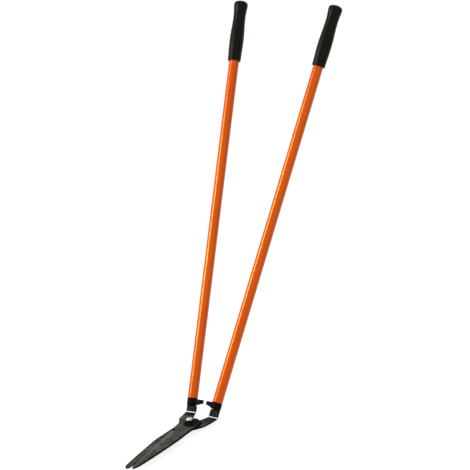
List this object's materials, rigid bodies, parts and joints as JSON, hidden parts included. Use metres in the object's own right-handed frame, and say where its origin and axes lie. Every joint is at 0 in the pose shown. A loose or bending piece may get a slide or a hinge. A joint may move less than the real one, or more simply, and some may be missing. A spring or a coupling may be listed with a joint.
{
  "type": "long-handled lawn edging shears",
  "caption": "Long-handled lawn edging shears: crossed pointed steel blades on a pivot bolt, bent shanks, orange tube handles with black grips and stop buffers.",
  "frame": {"origin": "on the pivot axis, at the lower face of the pivot bolt's head", "axes": "+Z along the pivot bolt from its head to its nut, -Y along the blades to their tips, +X to the side of the right handle; the handles rise to +Z and lean back to +Y"},
  "size_m": [0.2831, 0.7786, 0.7542],
  "materials": {
    "blade_steel": "dark oil-hardened steel with a mottled olive-grey skin, ground bright along the cutting edge",
    "orange_enamel": "gloss enamel",
    "grip_rubber": "smooth satin",
    "black_nylon": "satin moulded",
    "buffer_rubber": "matte",
    "zinc_plate": "bright zinc plated",
    "black_steel": "black oxide",
    "bronze": "turned",
    "white_nylon": "satin"
  },
  "bodies": {
    "left_lever": {"upper_lever": "blade_steel", "left_collar": "black_nylon", "left_buffer": "buffer_rubber", "left_tang_sleeve": "black_nylon", "left_roll_pin": "black_steel", "left_tube": "orange_enamel", "left_grip": "grip_rubber", "pivot_bolt": "zinc_plate", "head_washer": "zinc_plate", "pivot_bush": "bronze", "cover_washer": "black_steel", "disc_spring": "black_steel", "lock_nut": "zinc_plate", "nut_insert": "white_nylon"},
    "right_lever": {"lower_lever": "blade_steel", "right_collar": "black_nylon", "right_buffer": "buffer_rubber", "right_tang_sleeve": "black_nylon", "right_roll_pin": "black_steel", "right_tube": "orange_enamel", "right_grip": "grip_rubber"}
  },
  "joints": [
    {"name": "pivot", "type": "hinge", "parent": "left_lever", "child": "right_lever", "pos_m": [0, 0, 0], "axis": [0, 0, -1], "range_deg": [-6.5, 38]}
  ]
}
